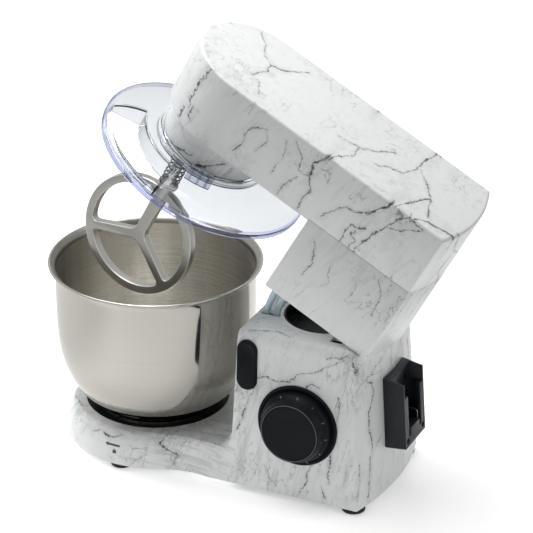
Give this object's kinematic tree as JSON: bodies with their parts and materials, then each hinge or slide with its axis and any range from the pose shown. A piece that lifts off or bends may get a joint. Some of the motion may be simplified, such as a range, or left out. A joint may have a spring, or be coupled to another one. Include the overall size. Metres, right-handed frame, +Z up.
{
  "type": "stand mixer",
  "caption": "Cordless tilt-head stand mixer with marble-look body, twist-lock steel bowl, clear splash guard, flat beater and rear battery dock.",
  "frame": {"origin": "middle of the footprint box on the table, with the head raised", "axes": "+Z up, +X along the length from the bowl towards the battery dock, -Y the side with the speed dial"},
  "size_m": [0.4676, 0.227, 0.4725],
  "materials": {
    "marble_plastic": "white with grey veins, satin gloss",
    "black_plastic": "fine satin",
    "slate_plastic": "fine matte",
    "rubber": "matte",
    "polished_steel": "mirror polished outside, brushed inside",
    "ground_steel": "ground",
    "cast_aluminium": "satin cast",
    "zinc_steel": "zinc plated",
    "terminal_brass": "plain",
    "clear_plastic": "clear, polished",
    "circuit_board": "satin",
    "nylon": "satin"
  },
  "bodies": {
    "base": {"base_shell": "marble_plastic", "base_cover": "slate_plastic", "foot_front_left": "rubber", "foot_front_right": "rubber", "foot_rear_left": "rubber", "foot_rear_right": "rubber", "bowl_seat": "black_plastic", "well_liner": "black_plastic", "hinge_bracket": "zinc_steel", "hinge_pin": "ground_steel", "lock_guide": "nylon", "lock_spring": "ground_steel", "dial_bezel": "black_plastic", "speed_switch": "slate_plastic", "control_board": "circuit_board", "battery_dock": "slate_plastic", "dock_terminal_left": "terminal_brass", "dock_terminal_right": "terminal_brass", "dock_screw_1": "ground_steel", "dock_screw_2": "ground_steel", "dock_screw_3": "ground_steel", "dock_screw_4": "ground_steel"},
    "lock": {"lock_button": "black_plastic", "lock_bar": "ground_steel"},
    "speed_dial": {"dial_knob": "black_plastic", "dial_ring": "zinc_steel", "dial_cap": "black_plastic"},
    "mixing_bowl": {"bowl": "polished_steel"},
    "head": {"head_cover": "marble_plastic", "head_housing": "marble_plastic", "gearbox_boss": "marble_plastic", "ring_gear": "nylon", "chassis": "cast_aluminium", "bearing_lower": "ground_steel", "bearing_upper": "ground_steel", "motor": "zinc_steel", "drive_belt": "rubber", "hinge_yoke": "zinc_steel", "quadrant_left": "zinc_steel", "quadrant_right": "zinc_steel"},
    "motor_rotor": {"motor_shaft": "ground_steel", "motor_pulley": "cast_aluminium"},
    "carrier": {"main_shaft": "ground_steel", "main_pulley": "cast_aluminium", "planet_carrier": "slate_plastic"},
    "planet": {"planet_gear": "nylon", "mixing_shaft": "ground_steel", "cross_pin": "ground_steel", "beater_spring": "ground_steel"},
    "flat_beater": {"beater": "cast_aluminium", "spring_washer": "ground_steel"},
    "guard": {"splash_guard": "clear_plastic"}
  },
  "joints": [
    {"name": "head_tilt", "type": "hinge", "parent": "base", "child": "head", "pos_m": [0.12347, 0, 0.159], "axis": [0, 1, 0], "range_deg": [-28.5, 0]},
    {"name": "lock_push", "type": "slide", "parent": "base", "child": "lock", "axis": [0, 1, 0], "range_m": [0, 0.004], "stiffness_N_per_m": 600, "deforming": ["lock_spring"]},
    {"name": "speed_turn", "type": "hinge", "parent": "base", "child": "speed_dial", "pos_m": [0.07737, -0.07643, 0.089], "axis": [0, -0.9987, 0.0516], "range_deg": [-40, 240]},
    {"name": "bowl_twist", "type": "hinge", "parent": "base", "child": "mixing_bowl", "pos_m": [-0.12083, 0, 0.04], "axis": [0, 0, 1], "range_deg": [0, 28]},
    {"name": "guard_twist", "type": "hinge", "parent": "head", "child": "guard", "pos_m": [-0.05496, 0, 0.34236], "axis": [0.4772, 0, 0.8788], "range_deg": [0, 25]},
    {"name": "carrier_spin", "type": "hinge", "parent": "head", "child": "carrier", "pos_m": [-0.05257, 0, 0.34675], "axis": [0.4772, 0, 0.8788], "continuous": true},
    {"name": "motor_spin", "type": "hinge", "parent": "head", "child": "motor_rotor", "pos_m": [0.1483, 0, 0.30596], "axis": [0.4772, 0, 0.8788], "continuous": true},
    {"name": "planet_spin", "type": "hinge", "parent": "carrier", "child": "planet", "pos_m": [-0.05711, -0.03183, 0.36629], "axis": [0.4772, 0, 0.8788], "continuous": true},
    {"name": "beater_push", "type": "slide", "parent": "planet", "child": "flat_beater", "axis": [0.4772, 0, 0.8788], "range_m": [0, 0.004], "stiffness_N_per_m": 500, "deforming": ["beater_spring"]}
  ],
  "couplings": [
    {"joint": "motor_spin", "follows": "carrier_spin", "ratio": 3.4286},
    {"joint": "planet_spin", "follows": "carrier_spin", "ratio": -3.4286}
  ]
}
